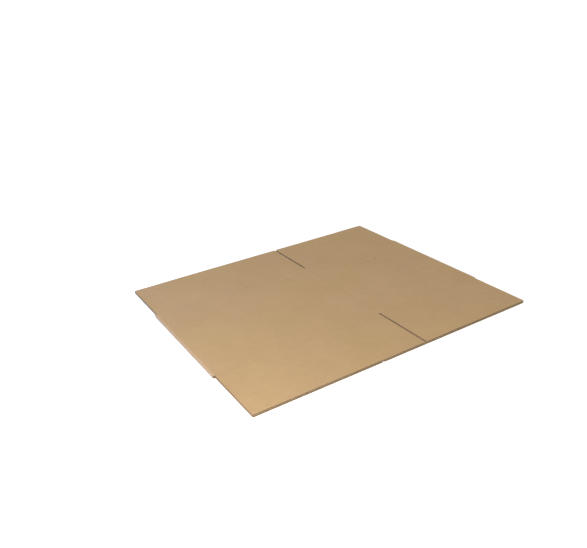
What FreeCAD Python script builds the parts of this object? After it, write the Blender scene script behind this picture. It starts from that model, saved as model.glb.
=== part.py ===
import FreeCAD, Part
import math
import os

# Regular slotted carton, knocked down flat. One blank of single-wall corrugated board is scored, slotted,
# folded round into a flat tube of two layers and glued to itself along one corner.
# Frame: X runs across the folded width, Y along the carton's height with its flaps, Z up. The origin is at
# the middle of the underside. The flutes run along Y, as they stand upright in the carton.

# Panels, measured from score to score
long_panel = 554.0
short_panel = 404.0
body_height = 408.0
flap_length = 202.0

# Board: two liners with a fluted medium glued between them
board_thickness = 4.0
liner_thickness = 0.45
medium_thickness = 0.3
flute_pitch = 7.9
crest_width = 1.2

# Slots between the flaps, and the uncut board that is left beside a slot or score
slot_width = 6.0
slot_margin = 1.5

# Scores pressed into the outer liner: width at the face and at the bottom, and depth
score_width = 3.0
score_floor = 1.0
score_depth = 0.3

# Crease inside each fold: board that is folded hard onto itself
fold_crush = 1.0

# Glued tab of the maker's joint, crushed thin, and the seam beside it
tab_width = 38.0
tab_thickness = 1.3
tab_clearance = 0.1
tab_end_inset = 3.0
tab_taper = 12.0
seam_gap = 2.0
seam_ramp = 3.0

# Die-cut outline of a hand hole in each short panel, near the carton's top scores. Short uncut nicks in the
# line hold its flap until it is pushed in.
hand_hole_length = 92.0
hand_hole_height = 30.0
hand_hole_drop = 77.0
hand_hole_cut = 0.8
hand_hole_depth = 0.3
hand_hole_nick = 4.0

# Worked out from the sizes above
folded_width = long_panel + short_panel
folded_depth = body_height + 2 * flap_length
inner_gap = tab_thickness + tab_clearance
upper_base = board_thickness + inner_gap
total_thickness = upper_base + board_thickness
left = -folded_width / 2
right = folded_width / 2
front = -folded_depth / 2
back = folded_depth / 2
front_score = -body_height / 2
back_score = body_height / 2
upper_corner = left + long_panel
joint_corner = left + short_panel
flap_set_back = board_thickness + slot_width / 2
corner_band = slot_width / 2 + slot_margin
fold_band = flap_set_back + slot_margin
overshoot = 1.0


def vector(x, y, z):
    return FreeCAD.Vector(x, y, z)


def section_wire(points):
    """Closed wire through (x, z) points in the plane of the front cut edge."""
    corners = [vector(x, front, z) for x, z in points]
    return Part.makePolygon(corners + corners[:1])


def bar(points, y_start, y_end):
    """Solid with the (x, z) outline given, from y_start to y_end."""
    corners = [vector(x, y_start, z) for x, z in points]
    face = Part.Face(Part.makePolygon(corners + corners[:1]))
    return face.extrude(vector(0, y_end - y_start, 0))


def plate(points, z_bottom, z_top):
    """Solid with the (x, y) outline given, from z_bottom to z_top."""
    corners = [vector(x, y, z_bottom) for x, y in points]
    face = Part.Face(Part.makePolygon(corners + corners[:1]))
    return face.extrude(vector(0, 0, z_top - z_bottom))


def block(x_low, x_high, y_low, y_high, z_low, z_high):
    size = (x_high - x_low, y_high - y_low, z_high - z_low)
    return Part.makeBox(*size, vector(x_low, y_low, z_low))


def rounded_wire(x_low, x_high, z_low, z_high):
    """Outline of a flat bar with half-round ends, in the plane of the front cut edge."""
    radius = (z_high - z_low) / 2
    middle = (z_low + z_high) / 2
    low_left = vector(x_low + radius, front, z_low)
    low_right = vector(x_high - radius, front, z_low)
    high_right = vector(x_high - radius, front, z_high)
    high_left = vector(x_low + radius, front, z_high)
    edges = [
        Part.LineSegment(low_left, low_right),
        Part.Arc(low_right, vector(x_high, front, middle), high_right),
        Part.LineSegment(high_right, high_left),
        Part.Arc(high_left, vector(x_low, front, middle), low_left),
    ]
    return Part.Wire([edge.toShape() for edge in edges])


def flute_slope():
    """Sideways run of the medium's flanks for each millimetre of rise.

    It is the slope at which two neighbouring flutes are one medium thickness apart, square to the flank,
    and one pitch holds both of them.
    """
    rise = board_thickness - 2 * liner_thickness - 2 * medium_thickness
    run = flute_pitch / 2 - crest_width
    square = rise ** 2 - medium_thickness ** 2
    root = math.sqrt((rise * run) ** 2 - square * (run ** 2 - medium_thickness ** 2))
    return (rise * run - root) / square


def flute_outlines(x_middle, z_base):
    """The two open flutes of one pitch: one open side up, and its neighbour open side down."""
    rise = board_thickness - 2 * liner_thickness - medium_thickness
    half_narrow = crest_width / 2
    half_wide = half_narrow + flute_slope() * rise
    low = z_base + liner_thickness
    high = z_base + board_thickness - liner_thickness
    x_up = x_middle - flute_pitch / 4
    x_down = x_middle + flute_pitch / 4
    opens_up = [
        (x_up - half_narrow, high - rise),
        (x_up + half_narrow, high - rise),
        (x_up + half_wide, high),
        (x_up - half_wide, high),
    ]
    opens_down = [
        (x_down - half_wide, low),
        (x_down + half_wide, low),
        (x_down + half_narrow, low + rise),
        (x_down - half_narrow, low + rise),
    ]
    return [opens_up, opens_down]


def flute_row(x_start, x_end, z_base):
    """Flute wires of one panel, as many whole pitches as fit between two crushed bands."""
    count = int((x_end - x_start) / flute_pitch)
    first = (x_start + x_end - (count - 1) * flute_pitch) / 2
    wires = []
    for number in range(count):
        for outline in flute_outlines(first + number * flute_pitch, z_base):
            wires.append(section_wire(outline))
    return wires


def flat_tube():
    """The folded board over its full depth: two layers, rounded folds, inner gap and open flutes."""
    crease = board_thickness + fold_crush
    outside = rounded_wire(left, right, 0, total_thickness)
    inside = rounded_wire(left + crease, right - crease, board_thickness, upper_base)
    wires = [outside, inside]
    for corner, z_base in ((joint_corner, 0), (upper_corner, upper_base)):
        wires += flute_row(left + fold_band, corner - corner_band, z_base)
        wires += flute_row(corner + corner_band, right - fold_band, z_base)
    section = Part.Face(wires, "Part::FaceMakerBullseye")
    return section.extrude(vector(0, folded_depth, 0))


def flap_zones():
    """Reach in Y of the front flaps and of the back flaps, past the cut edge."""
    return [(front - overshoot, front_score), (back_score, back + overshoot)]


def slot_cutters():
    """The slots that part the flaps: one in each layer at both ends, and one round each fold."""
    middle = total_thickness / 2
    below = -overshoot
    above = total_thickness + overshoot
    half = slot_width / 2
    cutters = []
    for y_low, y_high in flap_zones():
        cutters.append(block(joint_corner - half, joint_corner + half, y_low, y_high, below, middle))
        cutters.append(block(upper_corner - half, upper_corner + half, y_low, y_high, middle, above))
        cutters.append(block(left - overshoot, left + flap_set_back, y_low, y_high, below, above))
        cutters.append(block(right - flap_set_back, right + overshoot, y_low, y_high, below, above))
    return cutters


def groove(start, end, z_face, inward):
    """A score with sloping sides along a line in the face at z_face. inward is 1 for up and -1 for down."""
    run = vector(end[0] - start[0], end[1] - start[1], 0)
    across = vector(-run.y, run.x, 0).normalize()
    slope = (score_width - score_floor) / 2 / score_depth
    half_open = score_width / 2 + slope * overshoot
    half_floor = score_floor / 2
    profile = [
        (-half_open, -overshoot),
        (half_open, -overshoot),
        (half_floor, score_depth),
        (-half_floor, score_depth),
    ]
    corners = []
    for sideways, depth in profile:
        corners.append(vector(*start, z_face + inward * depth) + across * sideways)
    return Part.Face(Part.makePolygon(corners + corners[:1])).extrude(run)


def score_cutters():
    """Grooves of the flap scores on both outer faces, and of the corner score between the upper panels."""
    x_low = left + flap_set_back
    x_high = right - flap_set_back
    cutters = []
    for z_face, inward in ((0, 1), (total_thickness, -1)):
        for y_score in (front_score, back_score):
            cutters.append(groove((x_low, y_score), (x_high, y_score), z_face, inward))
    cutters.append(groove((upper_corner, front_score), (upper_corner, back_score), total_thickness, -1))
    return cutters


def stadium(x_middle, y_middle, grow):
    """Face with straight sides and half-round ends, larger than the hand hole by grow all round."""
    radius = hand_hole_height / 2 + grow
    straight = (hand_hole_length - hand_hole_height) / 2
    x_left = x_middle - straight
    x_right = x_middle + straight
    y_low = y_middle - radius
    y_high = y_middle + radius
    edges = [
        Part.LineSegment(vector(x_left, y_low, 0), vector(x_right, y_low, 0)),
        Part.Arc(
            vector(x_right, y_low, 0),
            vector(x_right + radius, y_middle, 0),
            vector(x_right, y_high, 0),
        ),
        Part.LineSegment(vector(x_right, y_high, 0), vector(x_left, y_high, 0)),
        Part.Arc(
            vector(x_left, y_high, 0),
            vector(x_left - radius, y_middle, 0),
            vector(x_left, y_low, 0),
        ),
    ]
    return Part.Face(Part.Wire([edge.toShape() for edge in edges]))


def knife_marks(x_middle, y_middle, z_low, z_high):
    """The line cut round a hand hole, less its nicks: two across each straight side, one at each round end."""
    outer = stadium(x_middle, y_middle, hand_hole_cut / 2)
    inner = stadium(x_middle, y_middle, -hand_hole_cut / 2)
    ring = outer.cut(inner)
    ring.translate(vector(0, 0, z_low))
    half = hand_hole_nick / 2
    past_end = hand_hole_length
    past_side = hand_hole_height
    nicks = [block(x_middle - past_end, x_middle + past_end, y_middle - half, y_middle + half, z_low, z_high)]
    for x_nick in (x_middle - hand_hole_length / 6, x_middle + hand_hole_length / 6):
        y_low = y_middle - past_side
        y_high = y_middle + past_side
        nicks.append(block(x_nick - half, x_nick + half, y_low, y_high, z_low, z_high))
    return ring.extrude(vector(0, 0, z_high - z_low)).cut(nicks).Solids


def hand_hole_cutters():
    """The knife marks of both hand holes: on the underside at the left, and in the top face at the right."""
    y_middle = back_score - hand_hole_drop
    x_under = left + short_panel / 2
    x_over = right - short_panel / 2
    under = knife_marks(x_under, y_middle, -overshoot, hand_hole_depth)
    over = knife_marks(x_over, y_middle, total_thickness - hand_hole_depth, total_thickness + overshoot)
    return under + over


def seam_cutter():
    """The open seam under the tab: sloped where the short panel rises, square at the long panel's cut end."""
    outline = [
        (joint_corner - seam_ramp, -overshoot),
        (joint_corner - seam_ramp, 0),
        (joint_corner, board_thickness - liner_thickness / 2),
        (joint_corner + seam_gap, board_thickness - liner_thickness / 2),
        (joint_corner + seam_gap, -overshoot),
    ]
    return bar(outline, front_score - overshoot, back_score + overshoot)


def glued_tab():
    """The crushed tab from the short panel, glued to the inside of the long one, with tapered ends."""
    x_root = joint_corner - seam_ramp
    x_tip = joint_corner + tab_width
    y_root = body_height / 2 - tab_end_inset
    y_tip = y_root - tab_taper
    outline = [(x_root, -y_root), (x_tip, -y_tip), (x_tip, y_tip), (x_root, y_root)]
    return plate(outline, board_thickness - liner_thickness / 2, board_thickness + tab_thickness)


def flattened_box():
    cutters = slot_cutters() + score_cutters() + hand_hole_cutters() + [seam_cutter()]
    return flat_tube().cut(cutters).fuse(glued_tab()).removeSplitter()


os.makedirs("parts", exist_ok=True)
flattened_box().exportStep("parts/flattened_box.step")
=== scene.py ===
import math

import bmesh
import bpy
import numpy as np
from mathutils import Matrix, Vector


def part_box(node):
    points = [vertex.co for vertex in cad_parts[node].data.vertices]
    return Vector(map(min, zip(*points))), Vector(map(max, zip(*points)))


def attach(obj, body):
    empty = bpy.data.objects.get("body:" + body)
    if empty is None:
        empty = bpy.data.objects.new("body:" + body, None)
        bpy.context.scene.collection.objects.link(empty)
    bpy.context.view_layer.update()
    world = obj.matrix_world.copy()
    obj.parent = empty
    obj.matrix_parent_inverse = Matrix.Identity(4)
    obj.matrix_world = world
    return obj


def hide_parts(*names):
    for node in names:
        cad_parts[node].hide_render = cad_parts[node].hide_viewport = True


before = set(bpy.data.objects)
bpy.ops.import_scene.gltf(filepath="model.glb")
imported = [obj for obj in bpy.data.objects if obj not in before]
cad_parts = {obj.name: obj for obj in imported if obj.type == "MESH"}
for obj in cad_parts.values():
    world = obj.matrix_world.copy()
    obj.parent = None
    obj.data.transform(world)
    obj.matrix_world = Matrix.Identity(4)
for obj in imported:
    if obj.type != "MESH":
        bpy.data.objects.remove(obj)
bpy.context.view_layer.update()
low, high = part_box("flattened_box")

# Sizes of the blank, in metres, as the solid has them. The solid's own box gives the outer ones.
MM = 0.001
LEFT, RIGHT = low.x, high.x
FRONT, BACK = low.y, high.y
TOTAL_THICKNESS = high.z
LONG_PANEL = 554 * MM
SHORT_PANEL = RIGHT - LEFT - LONG_PANEL
BODY_HEIGHT = 408 * MM
BOARD = 4.0 * MM
LINER = 0.45 * MM
MEDIUM = 0.3 * MM
FLUTE_PITCH = 7.9 * MM
SLOT_WIDTH = 6.0 * MM
FLAP_SET_BACK = BOARD + SLOT_WIDTH / 2
SEAM_GAP = 2.0 * MM
SEAM_RAMP = 3.0 * MM
TAB_WIDTH = 38 * MM
TAB_THICKNESS = 1.3 * MM
TAB_END_INSET = 3.0 * MM
TAB_TAPER = 12.0 * MM
HAND_HOLE_LENGTH = 92 * MM
HAND_HOLE_HEIGHT = 30 * MM
HAND_HOLE_DROP = 77 * MM
HAND_HOLE_CUT = 0.8 * MM
HAND_HOLE_NICK = 4.0 * MM
HAND_HOLE_PAST_LINER = 0.4 * MM

# Places of the scores and corners
FRONT_SCORE = -BODY_HEIGHT / 2
BACK_SCORE = BODY_HEIGHT / 2
UPPER_CORNER = LEFT + LONG_PANEL
JOINT_CORNER = LEFT + SHORT_PANEL

# How the board gives way: depths in metres, or shares of its thickness
SCORE_PRESS = 0.26
CORNER_PRESS = 0.20
SCORE_REACH = 1.5 * MM
EDGE_CRUSH = 0.07
EDGE_CRUSH_REACH = 4.0 * MM
SLOT_CRUSH = 0.16
SLOT_CRUSH_REACH = 2.2 * MM
FLAP_SAG = 0.85 * MM
EDGE_FRAY = 0.28 * MM
SLOT_FRAY = 0.22 * MM
CORNER_WEAR = 0.8 * MM
MEDIUM_RECESS = 0.2 * MM
FLUTE_LEAN = 0.5 * MM
SKIN_WAVE = 0.10 * MM
MEDIUM_FRAY = 0.15 * MM
TAB_DENT = 0.06 * MM
CORNER_WEAR_REACH = 1.2 * MM
CORNER_FLUTE_CRUSH = 0.6
CORNER_FLUTE_REACH = 3 * MM
FOLD_FLUTE_CRUSH = 0.75
FOLD_FLUTE_REACH = 7 * MM
END_FLUTE_UNEVENNESS = 0.04
END_FLUTE_REACH = 20 * MM

# How near a grid point lies to a cut end or a score, or to a slot's side, to count as on it
ON_LINE = 0.1 * MM
ON_SLOT_SIDE = 0.01 * MM

# Grids: lines round a fold, least distances between lines, and the angle above which an edge is shaded sharp
FOLD_LINES = 19
LEAST_SPACING = 0.05 * MM
LINER_CLEARANCE = 0.6 * MM
MEDIUM_CLEARANCE = 0.2 * MM
SHARP_ANGLE = math.radians(40)

# Paper: how fast each of its noises changes along X, Y and Z, per metre, and the colours of its marks: a
# cooler tint, specks, and scores, folds and cut ends that are partly wear and partly painted shade and
# highlight
BLOTCH_SCALE = (30, 55, 40)
STREAK_SCALE = (110, 760, 400)
FIBRE_SCALE = (380, 1900, 900)
SPECK_SCALE = (420, 1300, 700)
FLECK_SCALE = (500, 1500, 900)
CUT_FIBRE_SCALE = (900, 900, 2600)
COOLER_TINT = (1.0, 0.985, 1.05)
SCORE_CRUSH_AND_SHADE = (0.86, 0.83, 0.80)
STRETCHED_AND_LIT_FOLD = (0.68, 0.51, 0.35)
RUBBED_AND_LIT_END = (0.70, 0.53, 0.35)
DARK_SPECK = (0.20, 0.115, 0.05)
PALE_FLECK = (0.78, 0.62, 0.42)

# Distances from a score's middle where its darker line, partly crushed paper and partly painted shade in the
# groove, starts to fade, and where it has gone
SCORE_LINE = (0.3 * MM, 1.7 * MM)

# Floor and sky: the floor's half side, how bright both look to the camera, and the light they give
FLOOR_HALF = 14.0
FLOOR_SEEN = (1.15, 1.15, 1.15)
FLOOR_LIFT = 0.34
FLOOR_GIVEN = (0.86, 0.86, 0.86)
SKY_SEEN = 1.03
SKY_GIVEN = 0.31

# The folded path of the board's middle line
NOSE_RADIUS = TOTAL_THICKNESS / 2
BEND_RADIUS = NOSE_RADIUS - BOARD / 2
BEND_LENGTH = math.pi * BEND_RADIUS
START_X = JOINT_CORNER + SEAM_GAP
END_X = JOINT_CORNER - SEAM_RAMP
BEND_RIGHT = RIGHT - NOSE_RADIUS
BEND_LEFT = LEFT + NOSE_RADIUS
RIGHT_BEND_START = BEND_RIGHT - START_X
RIGHT_BEND_END = RIGHT_BEND_START + BEND_LENGTH
LEFT_BEND_START = RIGHT_BEND_END + BEND_RIGHT - BEND_LEFT
LEFT_BEND_END = LEFT_BEND_START + BEND_LENGTH
BLANK_END = LEFT_BEND_END + END_X - BEND_LEFT


def along_lower_right(x):
    """Distance along the blank of a place in the long panel of the lower layer."""
    return x - START_X


def along_upper(x):
    """Distance along the blank of a place in the upper layer."""
    return RIGHT_BEND_END + BEND_RIGHT - x


def along_lower_left(x):
    """Distance along the blank of a place in the short panel of the lower layer."""
    return LEFT_BEND_END + x - BEND_LEFT


UPPER_CORNER_S = along_upper(UPPER_CORNER)
HALF_SLOT = SLOT_WIDTH / 2
# Stretches of the blank, along it, where a slot is cut into the flaps at both ends
SLOTS = [
    (0.0, along_lower_right(JOINT_CORNER + HALF_SLOT)),
    (along_lower_right(RIGHT - FLAP_SET_BACK), along_upper(RIGHT - FLAP_SET_BACK)),
    (UPPER_CORNER_S - HALF_SLOT, UPPER_CORNER_S + HALF_SLOT),
    (along_upper(LEFT + FLAP_SET_BACK), along_lower_left(LEFT + FLAP_SET_BACK)),
]


def ripple(values, wavelengths, seed):
    """Smooth uneven wave between about -1 and 1, the same on each run."""
    random = np.random.RandomState(seed)
    total = np.zeros_like(values)
    for wavelength in wavelengths:
        stretch = random.uniform(0.85, 1.15)
        phase = random.uniform(0, 2 * math.pi)
        total += np.sin(2 * math.pi * values / (wavelength * stretch) + phase)
    return total / len(wavelengths)


def bell(distance, reach):
    """1 at no distance, falling smoothly to near 0 at twice the reach."""
    return np.exp(-(distance / reach) ** 2)


def fold_path(s):
    """Middle line of the folded board: x, z and the turn of its direction, for a distance along the blank."""
    right_turn = (s - RIGHT_BEND_START) / BEND_RADIUS
    left_turn = (s - LEFT_BEND_START) / BEND_RADIUS
    stretches = [s < RIGHT_BEND_START, s < RIGHT_BEND_END, s < LEFT_BEND_START, s < LEFT_BEND_END]
    x = np.select(
        stretches,
        [
            START_X + s,
            BEND_RIGHT + BEND_RADIUS * np.sin(right_turn),
            BEND_RIGHT - (s - RIGHT_BEND_END),
            BEND_LEFT - BEND_RADIUS * np.sin(left_turn),
        ],
        BEND_LEFT + s - LEFT_BEND_END,
    )
    z = np.select(
        stretches,
        [
            BOARD / 2 + 0 * s,
            NOSE_RADIUS - BEND_RADIUS * np.cos(right_turn),
            NOSE_RADIUS + BEND_RADIUS + 0 * s,
            NOSE_RADIUS + BEND_RADIUS * np.cos(left_turn),
        ],
        BOARD / 2,
    )
    turn = np.select(stretches, [0 * s, right_turn, math.pi + 0 * s, math.pi + left_turn], 2 * math.pi)
    return x, z, turn


def end_distance(y):
    """Distance in from the nearer cut end."""
    return np.minimum(y - FRONT, BACK - y)


def slot_distance(s):
    """Distance along the blank to the nearest side of a slot."""
    sides = np.array([side for slot in SLOTS for side in slot])
    return np.abs(s[..., None] - sides).min(axis=-1)


def thickness_share(s, y):
    """Share of the board's thickness that is left where scores and cutting have pressed it."""
    in_panel = bell(s - UPPER_CORNER_S, SCORE_REACH) * (np.abs(y) < BODY_HEIGHT / 2 + SLOT_WIDTH)
    share = 1 - CORNER_PRESS * in_panel
    for y_score in (FRONT_SCORE, BACK_SCORE):
        share = share - SCORE_PRESS * bell(y - y_score, SCORE_REACH)
    in_flap = np.abs(y) > BODY_HEIGHT / 2 + ON_LINE
    share = share - SLOT_CRUSH * in_flap * np.exp(-slot_distance(s) / SLOT_CRUSH_REACH)
    unevenness = 0.5 + 0.5 * ripple(s, (0.11, 0.047, 0.019), 3)
    return share - EDGE_CRUSH * unevenness * np.exp(-end_distance(y) / EDGE_CRUSH_REACH)


def flute_height(s, y):
    """How far the flutes still stand, as a share: less at the corner score and round the folds."""
    share = 1 - CORNER_FLUTE_CRUSH * bell(s - UPPER_CORNER_S, CORNER_FLUTE_REACH)
    for bend_middle in (RIGHT_BEND_START + BEND_LENGTH / 2, LEFT_BEND_START + BEND_LENGTH / 2):
        share = share - FOLD_FLUTE_CRUSH * bell(s - bend_middle, FOLD_FLUTE_REACH)
    return share + END_FLUTE_UNEVENNESS * ripple(s, (0.061, 0.023), 8) * (end_distance(y) < END_FLUTE_REACH)


def sag(s, y):
    """Sinking of the upper flaps towards the lower ones, most at a flap's cut edge and uneven along it."""
    upper = (s > RIGHT_BEND_END) & (s < LEFT_BEND_START)
    reach = np.clip(1 - end_distance(y) / (FRONT_SCORE - FRONT), 0, 1)
    back_shift = np.where(y < 0, 0.0, 0.37)
    uneven = 0.5 + 0.5 * ripple(s + back_shift, (0.9, 0.42, 0.17), 12)
    return -FLAP_SAG * upper * reach ** 1.5 * uneven


def placed(s, y, offset):
    """Points in the frame for places on the blank, offset outwards from the board's middle line."""
    x, z, turn = fold_path(s)
    in_upper_layer = np.cos(turn) < -0.99
    wave = -SKIN_WAVE * (0.5 + 0.5 * ripple(s + 0.6 * y, (0.31, 0.13), 21)) * in_upper_layer
    return np.stack(
        [x + offset * np.sin(turn), y, z - offset * np.cos(turn) + sag(s, y) + wave],
        axis=-1,
    )


def board_cells(s_lines, y_lines):
    """True for each grid cell where there is board, and False where a slot is cut."""
    s_middle = (s_lines[:-1] + s_lines[1:])[:, None] / 2
    y_middle = (y_lines[:-1] + y_lines[1:])[None, :] / 2
    kept = np.ones((len(s_lines) - 1, len(y_lines) - 1), bool)
    for start, end in SLOTS:
        inside = (s_middle > start) & (s_middle < end) & (np.abs(y_middle) > BODY_HEIGHT / 2)
        kept &= ~inside
    return kept


def sheet_faces(kept):
    """Quads of a closed thin sheet over the kept cells, and whether each is a cut edge."""
    columns, rows = kept.shape[0] + 1, kept.shape[1] + 1
    index = np.arange(columns * rows).reshape(columns, rows)
    under = index + columns * rows
    i, j = np.nonzero(kept)
    corners = [(i, j), (i, j + 1), (i + 1, j + 1), (i + 1, j)]
    top = np.stack([index[c] for c in corners], axis=1)
    bottom = np.stack([under[c] for c in corners[::-1]], axis=1)
    padded = np.pad(kept, 1)
    i, j = np.nonzero(padded[1:, 1:-1] != padded[:-1, 1:-1])
    across = np.stack([index[i, j], index[i, j + 1], under[i, j + 1], under[i, j]], axis=1)
    i, j = np.nonzero(padded[1:-1, 1:] != padded[1:-1, :-1])
    lengthwise = np.stack([index[i, j], index[i + 1, j], under[i + 1, j], under[i, j]], axis=1)
    faces = np.concatenate([top, bottom, across, lengthwise])
    is_edge = np.arange(len(faces)) >= len(top) + len(bottom)
    return faces, is_edge


def mesh_object(name, points, faces, is_edge, materials):
    """Mesh piece from points and quads, its cut edges in the second material."""
    used = np.unique(faces)
    renumber = np.zeros(len(points), int)
    renumber[used] = np.arange(len(used))
    mesh = bpy.data.meshes.new(name)
    mesh.from_pydata(points[used].tolist(), [], renumber[faces].tolist())
    for material in materials:
        mesh.materials.append(material)
    mesh.polygons.foreach_set("material_index", is_edge.astype(np.int32))
    mesh.polygons.foreach_set("use_smooth", np.ones(len(faces), bool))
    editable = bmesh.new()
    editable.from_mesh(mesh)
    bmesh.ops.recalc_face_normals(editable, faces=editable.faces)
    editable.to_mesh(mesh)
    editable.free()
    mesh.set_sharp_from_angle(angle=SHARP_ANGLE)
    piece = bpy.data.objects.new(name, mesh)
    bpy.context.scene.collection.objects.link(piece)
    return piece


def merged_lines(*groups):
    """Sorted grid lines from several groups, without near doubles."""
    lines = np.sort(np.concatenate([np.atleast_1d(group) for group in groups]))
    apart = np.append(True, np.diff(lines) > LEAST_SPACING)
    return lines[apart]


def dense_lines(middle, steps):
    """Grid lines at steps in millimetres from a middle line."""
    return middle + np.array(steps) * MM


def liner_s_lines():
    """Grid lines along the blank for a liner: even ones, and closer ones at slots, corner and folds."""
    even = np.arange(0, BLANK_END, FLUTE_PITCH / 2)
    slot_edges = [place for slot in SLOTS for place in slot]
    steps = (0.7, 1.6, 3)
    beside_slots = [end + step * MM for start, end in SLOTS for step in steps]
    beside_slots += [start - step * MM for start, end in SLOTS[1:] for step in steps]
    bends = [
        np.linspace(RIGHT_BEND_START, RIGHT_BEND_END, FOLD_LINES),
        np.linspace(LEFT_BEND_START, LEFT_BEND_END, FOLD_LINES),
    ]
    clear = np.ones(len(even), bool)
    for place in slot_edges + beside_slots:
        clear &= np.abs(even - place) > LINER_CLEARANCE
    clear &= (even < RIGHT_BEND_START - MM) | (even > RIGHT_BEND_END + MM)
    clear &= (even < LEFT_BEND_START - MM) | (even > LEFT_BEND_END + MM)
    corner = dense_lines(UPPER_CORNER_S, (-2, -1, 0, 1, 2))
    return merged_lines(even[clear], slot_edges, beside_slots, *bends, corner, 0.0, BLANK_END)


def liner_y_lines():
    """Grid lines from the front cut end to the back one for a liner, closer at ends and scores."""
    steps = (-4, -2.5, -1.5, -0.75, 0, 0.75, 1.5, 2.5, 4)
    flap = np.linspace(FRONT + 12 * MM, FRONT_SCORE - 8 * MM, 8)
    body = np.linspace(FRONT_SCORE + 8 * MM, BACK_SCORE - 8 * MM, 14)
    edge = FRONT + np.array((0, 1.5, 4.5, 8)) * MM
    return merged_lines(
        edge,
        flap,
        dense_lines(FRONT_SCORE, steps),
        body,
        dense_lines(BACK_SCORE, steps),
        -flap,
        -edge,
    )


def medium_s_lines():
    """Grid lines along the blank for the medium, twelve to a flute."""
    even = np.arange(0, BLANK_END, FLUTE_PITCH / 12)
    slot_edges = [place for slot in SLOTS for place in slot]
    clear = np.ones(len(even), bool)
    for place in slot_edges:
        clear &= np.abs(even - place) > MEDIUM_CLEARANCE
    return merged_lines(even[clear], slot_edges, BLANK_END)


def medium_y_lines():
    """Grid lines from the front cut end to the back one for the medium: few, as flutes run straight."""
    edge = FRONT + np.array((0, 3, 9)) * MM
    return merged_lines(
        edge,
        dense_lines(FRONT_SCORE, (-3, 0, 3)),
        dense_lines(BACK_SCORE, (-3, 0, 3)),
        -edge,
    )


def frayed(s, y, depth, seed):
    """Cut ends drawn back unevenly, most at the flaps' corners, so that no end is a ruled line."""
    back_off = depth * (0.5 + 0.5 * ripple(s, (0.035, 0.013, 0.0061), seed))
    back_off = back_off + CORNER_WEAR * bell(slot_distance(s), CORNER_WEAR_REACH)
    y = np.where(y < FRONT + ON_LINE, y + back_off, y)
    return np.where(y > BACK - ON_LINE, y - back_off, y)


def slots_frayed(s, y, seed):
    """Slot sides moved a little into the flaps, unevenly."""
    moved = s.copy()
    uneven = SLOT_FRAY * (0.5 + 0.5 * ripple(y, (0.041, 0.017, 0.007), seed))
    in_flap = np.abs(y) > BODY_HEIGHT / 2 + ON_LINE
    for start, end in SLOTS[1:]:
        moved = np.where(in_flap & (np.abs(s - start) < ON_SLOT_SIDE), s - uneven, moved)
        moved = np.where(in_flap & (np.abs(s - end) < ON_SLOT_SIDE), s + uneven, moved)
    return moved


def liner_piece(name, outward, seed, materials):
    """One liner of the board. outward is 1 for the outer liner and -1 for the inner one."""
    s_lines, y_lines = liner_s_lines(), liner_y_lines()
    s, y = np.meshgrid(s_lines, y_lines, indexing="ij")
    skin = outward * BOARD / 2 * thickness_share(s, y)
    y = frayed(s, y, EDGE_FRAY, seed)
    s = slots_frayed(s, y, seed + 1)
    faces, is_edge = sheet_faces(board_cells(s_lines, y_lines))
    points = [placed(s, y, skin), placed(s, y, skin - outward * LINER)]
    return mesh_object(name, np.concatenate(points).reshape(-1, 3), faces, is_edge, materials)


def medium_piece(name, materials):
    """The fluted medium between the liners, its ends a little back from theirs and leaning unevenly."""
    s_lines, y_lines = medium_s_lines(), medium_y_lines()
    s, y = np.meshgrid(s_lines, y_lines, indexing="ij")
    near_end = end_distance(y) < 1 * MM
    phase = 2 * math.pi * s / FLUTE_PITCH
    reach = (BOARD / 2 * thickness_share(s, y) - LINER - MEDIUM / 2) * flute_height(s, y)
    sharpness = 1.2
    wave = np.tanh(sharpness * np.sin(phase)) / math.tanh(sharpness)
    slope = np.gradient(wave * reach, s_lines, axis=0)
    half = MEDIUM / 2 * np.sqrt(1 + slope ** 2)
    y = frayed(s, y, MEDIUM_FRAY, 31)
    y = np.where(near_end, y - np.sign(y) * MEDIUM_RECESS, y)
    lean = FLUTE_LEAN * ripple(s, (0.073, 0.031, 0.017), 41) * near_end
    in_slot_edge = np.zeros_like(s, bool)
    for start, end in SLOTS:
        in_slot_edge |= (np.abs(s - start) < MM) | (np.abs(s - end) < MM)
    s = np.where(in_slot_edge, s, s + lean)
    faces, is_edge = sheet_faces(board_cells(s_lines, y_lines))
    points = [placed(s, y, wave * reach + half), placed(s, y, wave * reach - half)]
    return mesh_object(name, np.concatenate(points).reshape(-1, 3), faces, is_edge, materials)


def tab_piece(name, materials):
    """The glued tab: it rises from the short panel's end and lies crushed on the inside of the long one."""
    ramp = [END_X, END_X + SEAM_RAMP / 2, JOINT_CORNER]
    flat = np.linspace(JOINT_CORNER + SEAM_GAP, JOINT_CORNER + TAB_WIDTH, 12)
    x_lines = np.concatenate([ramp, flat])
    share_lines = np.linspace(-1, 1, 41)
    x, share = np.meshgrid(x_lines, share_lines, indexing="ij")
    rise = np.clip((x - END_X) / SEAM_RAMP, 0, 1)
    root = BODY_HEIGHT / 2 - TAB_END_INSET
    y = share * (root - TAB_TAPER * np.clip((x - JOINT_CORNER) / TAB_WIDTH, 0, 1))
    dent = TAB_DENT * (1 + ripple(y + x, (0.05, 0.021), 55))
    z_under = rise * BOARD
    z_over = BOARD + rise * (TAB_THICKNESS - dent)
    points = [np.stack([x, y, z_over], axis=-1), np.stack([x, y, z_under], axis=-1)]
    cells = np.ones((len(x_lines) - 1, len(share_lines) - 1), bool)
    faces, is_edge = sheet_faces(cells)
    return mesh_object(name, np.concatenate(points).reshape(-1, 3), faces, is_edge, materials)


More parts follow.
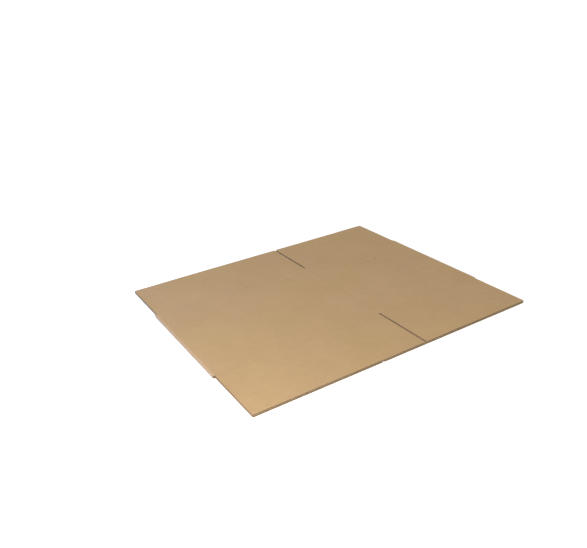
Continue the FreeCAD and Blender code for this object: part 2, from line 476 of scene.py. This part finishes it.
def stadium_point(distance, grow):
    """Point on the hand hole's outline, a distance round it from the start of its lower straight side."""
    radius = HAND_HOLE_HEIGHT / 2
    straight = HAND_HOLE_LENGTH - HAND_HOLE_HEIGHT
    turn_length = math.pi * radius
    distance = distance % (2 * straight + 2 * turn_length)
    if distance < straight:
        return distance - straight / 2, -radius - grow
    distance -= straight
    if distance < turn_length:
        angle = distance / radius - math.pi / 2
        return straight / 2 + (radius + grow) * math.cos(angle), (radius + grow) * math.sin(angle)
    distance -= turn_length
    if distance < straight:
        return straight / 2 - distance, radius + grow
    angle = (distance - straight) / radius + math.pi / 2
    return -straight / 2 + (radius + grow) * math.cos(angle), (radius + grow) * math.sin(angle)


def hand_hole_cutter(x_middle, y_middle, z_low, z_high):
    """The knife marks of one hand hole: curved bars round its outline, with uncut nicks between them.

    Two nicks cross each straight side and one crosses each round end.
    """
    straight = HAND_HOLE_LENGTH - HAND_HOLE_HEIGHT
    turn_length = math.pi * HAND_HOLE_HEIGHT / 2
    whole = 2 * straight + 2 * turn_length
    beside = HAND_HOLE_LENGTH / 6
    half_round = [straight / 2 - beside, straight / 2 + beside, straight + turn_length / 2]
    nicks = half_round + [place + whole / 2 for place in half_round]
    steps = 16
    editable = bmesh.new()
    for nick, next_nick in zip(nicks, nicks[1:] + [nicks[0] + whole]):
        length = next_nick - nick - HAND_HOLE_NICK
        rows = []
        for step in range(steps + 1):
            distance = nick + HAND_HOLE_NICK / 2 + length * step / steps
            row = []
            for grow, z in (
                (-HAND_HOLE_CUT / 2, z_low),
                (HAND_HOLE_CUT / 2, z_low),
                (HAND_HOLE_CUT / 2, z_high),
                (-HAND_HOLE_CUT / 2, z_high),
            ):
                x, y = stadium_point(distance, grow)
                row.append(editable.verts.new((x_middle + x, y_middle + y, z)))
            rows.append(row)
        for near, far in zip(rows, rows[1:]):
            for k in range(4):
                editable.faces.new((near[k], near[(k + 1) % 4], far[(k + 1) % 4], far[k]))
        editable.faces.new(rows[0])
        editable.faces.new(rows[-1])
    bmesh.ops.recalc_face_normals(editable, faces=editable.faces)
    mesh = bpy.data.meshes.new("knife_marks")
    editable.to_mesh(mesh)
    editable.free()
    cutter = bpy.data.objects.new("knife_marks", mesh)
    bpy.context.scene.collection.objects.link(cutter)
    return cutter


def cut_hand_holes(liner):
    """Cuts both hand hole outlines through the outer liner."""
    y_middle = BACK_SCORE - HAND_HOLE_DROP
    lower = (LEFT + SHORT_PANEL / 2, -MM, LINER + HAND_HOLE_PAST_LINER)
    upper_bottom = TOTAL_THICKNESS - LINER - HAND_HOLE_PAST_LINER
    upper = (RIGHT - SHORT_PANEL / 2, upper_bottom, TOTAL_THICKNESS + MM)
    for x_middle, z_low, z_high in (lower, upper):
        cutter = hand_hole_cutter(x_middle, y_middle, z_low, z_high)
        modifier = liner.modifiers.new("knife_marks", "BOOLEAN")
        modifier.operation = "DIFFERENCE"
        modifier.solver = "EXACT"
        modifier.object = cutter
        graph = bpy.context.evaluated_depsgraph_get()
        cut = bpy.data.meshes.new_from_object(liner.evaluated_get(graph))
        liner.modifiers.clear()
        liner.data = cut
        bpy.data.objects.remove(cutter)


class Nodes:
    """Small helper that adds and links a material's nodes."""

    def __init__(self, material):
        self.tree = material.node_tree

    def add(self, kind, **values):
        node = self.tree.nodes.new(kind)
        for name, value in values.items():
            setattr(node, name, value)
        return node

    def link(self, source, target):
        self.tree.links.new(source, target)

    def noise(self, vector, scale, detail, roughness):
        """Cloudy field between 0 and 1. Its clouds are about 1 / scale wide."""
        node = self.add("ShaderNodeTexNoise")
        node.inputs["Scale"].default_value = scale
        node.inputs["Detail"].default_value = detail
        node.inputs["Roughness"].default_value = roughness
        self.link(vector, node.inputs["Vector"])
        return node.outputs["Fac"]

    def stretched(self, vector, scale):
        """Place scaled along X, Y and Z, so that a noise laid on it is longer one way than another."""
        node = self.add("ShaderNodeMapping")
        node.inputs["Scale"].default_value = scale
        self.link(vector, node.inputs["Vector"])
        return node.outputs["Vector"]

    def math(self, operation, first, second=None):
        """Result of an operation on one or two values, each a number or another node's output."""
        node = self.add("ShaderNodeMath", operation=operation)
        for socket, value in zip(node.inputs, (first, second)):
            if value is None:
                continue
            if isinstance(value, (int, float)):
                socket.default_value = value
            else:
                self.link(value, socket)
        return node.outputs[0]

    def spread(self, value, from_low, from_high, to_low, to_high):
        """Value moved from one range to another, clamped."""
        node = self.add("ShaderNodeMapRange")
        for name, number in (
            ("From Min", from_low),
            ("From Max", from_high),
            ("To Min", to_low),
            ("To Max", to_high),
        ):
            node.inputs[name].default_value = number
        self.link(value, node.inputs["Value"])
        return node.outputs["Result"]

    def mix(self, share, first, second, blend="MIX"):
        """Colour mixed from two. The node's colours are its inputs 6 and 7 and its output 2."""
        node = self.add("ShaderNodeMix", data_type="RGBA", blend_type=blend)
        for socket, value in ((node.inputs[0], share), (node.inputs[6], first), (node.inputs[7], second)):
            if isinstance(value, (int, float)):
                socket.default_value = value
            elif isinstance(value, tuple):
                socket.default_value = (*value, 1.0)
            else:
                self.link(value, socket)
        return node.outputs[2]

    def bump(self, height, distance, strength, normal=None):
        """Surface direction tilted by a height field that is distance metres deep."""
        node = self.add("ShaderNodeBump")
        node.inputs["Distance"].default_value = distance
        node.inputs["Strength"].default_value = strength
        self.link(height, node.inputs["Height"])
        if normal is not None:
            self.link(normal, node.inputs["Normal"])
        return node.outputs["Normal"]


def score_lines(nodes, split):
    """Share of 1 along the flap scores and the upper corner score, falling to 0 beside them: where the darker
    score line, partly painted shade, is laid.
    """
    reach = nodes.math("ABSOLUTE", split.outputs["Y"])
    from_flap_score = nodes.math("ABSOLUTE", nodes.math("SUBTRACT", reach, BODY_HEIGHT / 2))
    from_corner = nodes.math("ABSOLUTE", nodes.math("SUBTRACT", split.outputs["X"], UPPER_CORNER))
    in_body = nodes.math("LESS_THAN", reach, BODY_HEIGHT / 2)
    in_upper = nodes.math("GREATER_THAN", split.outputs["Z"], TOTAL_THICKNESS / 2)
    corner_line = nodes.math("MULTIPLY", nodes.spread(from_corner, *SCORE_LINE, 1, 0), in_body)
    corner_line = nodes.math("MULTIPLY", corner_line, in_upper)
    return nodes.math("MAXIMUM", nodes.spread(from_flap_score, *SCORE_LINE, 1, 0), corner_line)


def paper_material(name, pale, deep, washboard_shade, grain_depth, wear_and_painted_light):
    """Kraft paper: cloudy colour, fibres lying across the flutes, dark and pale specks and faint flute lines
    that are painted shade of the liner rippling over the flutes.

    worn adds the outer face's darker scores, partly crushed paper and partly painted shade; its pale folds,
    partly stretched paper and partly a painted highlight; and its paler cut ends, partly wear from rubbing
    and partly a painted edge highlight.
    """
    material = bpy.data.materials.new(name)
    material.use_nodes = True
    nodes = Nodes(material)
    shader = material.node_tree.nodes["Principled BSDF"]
    place = nodes.add("ShaderNodeTexCoord").outputs["Object"]
    cloud = nodes.noise(place, 7.0, 3.0, 0.55)
    blotch = nodes.noise(nodes.stretched(place, BLOTCH_SCALE), 1.0, 3.0, 0.55)
    streak = nodes.noise(nodes.stretched(place, STREAK_SCALE), 1.0, 3.0, 0.6)
    fibre = nodes.noise(nodes.stretched(place, FIBRE_SCALE), 1.0, 4.0, 0.7)
    felt = nodes.noise(place, 1500.0, 3.0, 0.6)
    tone = nodes.math("MULTIPLY", cloud, 0.16)
    for layer, weight in ((blotch, 0.16), (streak, 0.20), (fibre, 0.32), (felt, 0.16)):
        tone = nodes.math("ADD", tone, nodes.math("MULTIPLY", layer, weight))
    colour = nodes.mix(nodes.spread(tone, 0.36, 0.64, 0, 1), deep, pale)
    hue = nodes.noise(place, 4.0, 2.0, 0.5)
    colour = nodes.mix(nodes.spread(hue, 0.38, 0.62, 0, 1), colour, COOLER_TINT, "MULTIPLY")

    split = nodes.add("ShaderNodeSeparateXYZ")
    nodes.link(place, split.inputs[0])
    flute_phase = nodes.math("MULTIPLY", split.outputs["X"], 2 * math.pi / FLUTE_PITCH)
    flute_line = nodes.math("SINE", flute_phase)
    # Colour ripple at the flute pitch: painted shade of the liner rippling over the flutes; the bump below
    # tilts the same ripple
    flute_shade = nodes.spread(flute_line, -1, 1, 1 - washboard_shade, 1 + washboard_shade)
    colour = nodes.mix(1.0, colour, flute_shade, "MULTIPLY")
    if wear_and_painted_light:
        # Darker scores: partly crushed paper, partly painted shade in the pressed grooves
        score_crush_and_shade_share = nodes.math("MULTIPLY", score_lines(nodes, split), nodes.spread(streak, 0.3, 0.7, 0.35, 0.9))
        colour = nodes.mix(score_crush_and_shade_share, colour, SCORE_CRUSH_AND_SHADE, "MULTIPLY")
        # Paler band over the folds: partly stretched paper, partly a painted highlight of the light falling
        # on the folds
        from_middle = nodes.math("ABSOLUTE", split.outputs["X"])
        on_fold = nodes.spread(from_middle, BEND_RIGHT - 5 * MM, RIGHT - MM, 0, 1)
        stretched = nodes.math("MULTIPLY", on_fold, nodes.spread(fibre, 0.3, 0.7, 0.25, 0.75))
        colour = nodes.mix(stretched, colour, STRETCHED_AND_LIT_FOLD)
        # Paler band along the cut ends: partly wear from rubbing, partly a painted edge highlight
        reach = nodes.math("ABSOLUTE", split.outputs["Y"])
        near_end = nodes.spread(reach, BACK - 2.2 * MM, BACK, 0, 1)
        rubbed_and_highlit = nodes.math("MULTIPLY", near_end, nodes.spread(fibre, 0.45, 0.65, 0, 0.6))
        colour = nodes.mix(rubbed_and_highlit, colour, RUBBED_AND_LIT_END)

    speck_field = nodes.noise(nodes.stretched(place, SPECK_SCALE), 1.0, 1.0, 0.4)
    dark_specks = nodes.spread(speck_field, 0.72, 0.78, 0, 0.45)
    colour = nodes.mix(dark_specks, colour, DARK_SPECK)
    fleck_field = nodes.noise(nodes.stretched(place, FLECK_SCALE), 1.3, 1.0, 0.4)
    pale_flecks = nodes.spread(fleck_field, 0.71, 0.78, 0, 0.30)
    colour = nodes.mix(pale_flecks, colour, PALE_FLECK)
    nodes.link(colour, shader.inputs["Base Color"])

    rough = nodes.spread(nodes.math("ADD", blotch, fibre), 0.7, 1.3, 0.70, 0.88)
    nodes.link(rough, shader.inputs["Roughness"])
    shader.inputs["Specular IOR Level"].default_value = 0.32

    grain = nodes.math("ADD", nodes.math("MULTIPLY", fibre, 0.65), nodes.math("MULTIPLY", felt, 0.35))
    normal = nodes.bump(grain, grain_depth, 0.5)
    normal = nodes.bump(flute_line, 0.06 * MM, 0.8, normal)
    normal = nodes.bump(cloud, 1.0 * MM, 0.3, normal)
    nodes.link(normal, shader.inputs["Normal"])
    return material


def cut_material(name, pale, deep):
    """Cut paper edge: duller and rougher than the paper's face, and streaked through its thickness."""
    material = bpy.data.materials.new(name)
    material.use_nodes = True
    nodes = Nodes(material)
    shader = material.node_tree.nodes["Principled BSDF"]
    place = nodes.add("ShaderNodeTexCoord").outputs["Object"]
    coarse = nodes.noise(place, 120.0, 3.0, 0.6)
    fine = nodes.noise(nodes.stretched(place, CUT_FIBRE_SCALE), 1.0, 3.0, 0.7)
    tone = nodes.math("ADD", nodes.math("MULTIPLY", coarse, 0.5), nodes.math("MULTIPLY", fine, 0.5))
    nodes.link(nodes.mix(nodes.spread(tone, 0.36, 0.64, 0, 1), deep, pale), shader.inputs["Base Color"])
    shader.inputs["Roughness"].default_value = 0.92
    shader.inputs["Specular IOR Level"].default_value = 0.2
    nodes.link(nodes.bump(fine, 0.12 * MM, 0.6), shader.inputs["Normal"])
    return material


def white_floor():
    """Plain pale floor that keeps the shadow and is white where nothing shades it."""
    material = bpy.data.materials.new("floor_white")
    material.use_nodes = True
    nodes = Nodes(material)
    tree = material.node_tree
    tree.nodes.remove(tree.nodes["Principled BSDF"])
    output = tree.nodes["Material Output"]
    diffuse = nodes.add("ShaderNodeBsdfDiffuse")
    diffuse.inputs["Color"].default_value = (*FLOOR_GIVEN, 1)
    bright = nodes.add("ShaderNodeBsdfDiffuse")
    bright.inputs["Color"].default_value = (*FLOOR_SEEN, 1)
    glow = nodes.add("ShaderNodeEmission")
    glow.inputs["Strength"].default_value = FLOOR_LIFT
    lifted = nodes.add("ShaderNodeAddShader")
    nodes.link(bright.outputs[0], lifted.inputs[0])
    nodes.link(glow.outputs[0], lifted.inputs[1])
    path = nodes.add("ShaderNodeLightPath")
    seen = nodes.add("ShaderNodeMixShader")
    nodes.link(path.outputs["Is Camera Ray"], seen.inputs[0])
    nodes.link(diffuse.outputs[0], seen.inputs[1])
    nodes.link(lifted.outputs[0], seen.inputs[2])
    nodes.link(seen.outputs[0], output.inputs["Surface"])
    signs = ((-1, -1), (1, -1), (1, 1), (-1, 1))
    mesh = bpy.data.meshes.new("floor")
    mesh.from_pydata([(x * FLOOR_HALF, y * FLOOR_HALF, 0) for x, y in signs], [], [(0, 1, 2, 3)])
    mesh.materials.append(material)
    floor = bpy.data.objects.new("floor", mesh)
    bpy.context.scene.collection.objects.link(floor)


def white_world():
    """Soft light from all round, seen as white by the camera and in reflections."""
    world = bpy.data.worlds.new("studio")
    bpy.context.scene.world = world
    world.use_nodes = True
    tree = world.node_tree
    background = tree.nodes["Background"]
    background.inputs["Color"].default_value = (1.0, 1.0, 1.0, 1)
    background.inputs["Strength"].default_value = SKY_GIVEN
    plain = tree.nodes.new("ShaderNodeBackground")
    plain.inputs["Color"].default_value = (1, 1, 1, 1)
    plain.inputs["Strength"].default_value = SKY_SEEN
    path = tree.nodes.new("ShaderNodeLightPath")
    either = tree.nodes.new("ShaderNodeMath")
    either.operation = "MAXIMUM"
    tree.links.new(path.outputs["Is Camera Ray"], either.inputs[0])
    tree.links.new(path.outputs["Is Glossy Ray"], either.inputs[1])
    seen = tree.nodes.new("ShaderNodeMixShader")
    tree.links.new(either.outputs[0], seen.inputs[0])
    tree.links.new(background.outputs[0], seen.inputs[1])
    tree.links.new(plain.outputs[0], seen.inputs[2])
    tree.links.new(seen.outputs[0], tree.nodes["World Output"].inputs["Surface"])


def area_lamp(name, place, target, size, watts, colour):
    """Round lamp at a place, turned to a target."""
    lamp = bpy.data.lights.new(name, "AREA")
    lamp.shape = "DISK"
    lamp.size = size
    lamp.energy = watts
    lamp.color = colour
    holder = bpy.data.objects.new(name, lamp)
    holder.location = place
    holder.rotation_euler = (Vector(target) - Vector(place)).to_track_quat("-Z", "Y").to_euler()
    bpy.context.scene.collection.objects.link(holder)


def sun_lamp(name, towards, strength, spread_degrees):
    """Even light from one side of the sky. towards points from the object to the light."""
    lamp = bpy.data.lights.new(name, "SUN")
    lamp.energy = strength * math.pi
    lamp.angle = math.radians(spread_degrees)
    holder = bpy.data.objects.new(name, lamp)
    holder.rotation_euler = (-Vector(towards)).to_track_quat("-Z", "Y").to_euler()
    bpy.context.scene.collection.objects.link(holder)


def photo_camera():
    """Camera at the photograph's viewing angle. Shifts and distance are shares of the folded width."""
    azimuth, elevation, roll = math.radians(-31.02), math.radians(25.35), math.radians(-3.09)
    distance, shift_right, shift_down = 2.126, 0.0886, 0.0707
    focal_pixels, frame_pixels, sensor_width = 639.0, 587.0, 36.0
    back = Vector((
        math.sin(azimuth) * math.cos(elevation),
        -math.cos(azimuth) * math.cos(elevation),
        math.sin(elevation),
    ))
    level = Vector((math.cos(azimuth), math.sin(azimuth), 0))
    upright = back.cross(level)
    right = math.cos(roll) * level + math.sin(roll) * upright
    up = -math.sin(roll) * level + math.cos(roll) * upright
    width = RIGHT - LEFT
    offset = distance * back - shift_right * right + shift_down * up
    place = Vector((0, 0, TOTAL_THICKNESS)) + width * offset
    lens = bpy.data.cameras.new("camera")
    lens.sensor_width = sensor_width
    lens.lens = sensor_width * focal_pixels / frame_pixels
    camera = bpy.data.objects.new("camera", lens)
    camera.matrix_world = Matrix.Translation(place) @ Matrix((right, up, back)).transposed().to_4x4()
    bpy.context.scene.collection.objects.link(camera)
    bpy.context.scene.camera = camera


photo_camera()
white_world()
white_floor()
area_lamp("key", (-0.90, -0.74, 0.80), (-0.48, -0.31, 0), size=0.6, watts=6.8, colour=(1.0, 0.98, 0.94))
area_lamp("cool_side", (-1.2, 0.60, 0.75), (-0.45, 0.25, 0), size=0.8, watts=4.9, colour=(0.27, 0.45, 1.0))
sun_lamp("broad", (0.35, -0.1, 1.0), strength=0.25, spread_degrees=50)
sun_lamp("front_fill", (0.15, -1.0, 0.24), strength=0.30, spread_degrees=40)

kraft_face = paper_material(
    "kraft_face",
    pale=(0.585, 0.388, 0.187),
    deep=(0.465, 0.302, 0.141),
    washboard_shade=0.012,
    grain_depth=0.16 * MM,
    wear_and_painted_light=True,
)
kraft_inside = paper_material(
    "kraft_inside",
    pale=(0.560, 0.380, 0.205),
    deep=(0.440, 0.295, 0.152),
    washboard_shade=0.018,
    grain_depth=0.18 * MM,
    wear_and_painted_light=False,
)
fluting = paper_material(
    "fluting_paper",
    pale=(0.50, 0.360, 0.215),
    deep=(0.40, 0.280, 0.165),
    washboard_shade=0.0,
    grain_depth=0.2 * MM,
    wear_and_painted_light=False,
)
liner_cut = cut_material("liner_cut", (0.68, 0.52, 0.34), (0.50, 0.365, 0.225))
medium_cut = cut_material("medium_cut", (0.58, 0.44, 0.28), (0.42, 0.305, 0.185))

outer_liner = liner_piece("outer_liner", 1, 61, [kraft_face, liner_cut])
cut_hand_holes(outer_liner)
inner_liner = liner_piece("inner_liner", -1, 71, [kraft_inside, liner_cut])
fluted_medium = medium_piece("fluted_medium", [fluting, medium_cut])
glue_tab = tab_piece("glue_tab", [kraft_inside, liner_cut])

for piece in (outer_liner, inner_liner, fluted_medium, glue_tab):
    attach(piece, "root")
    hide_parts("flattened_box")

bpy.context.scene.view_settings.view_transform = "Standard"
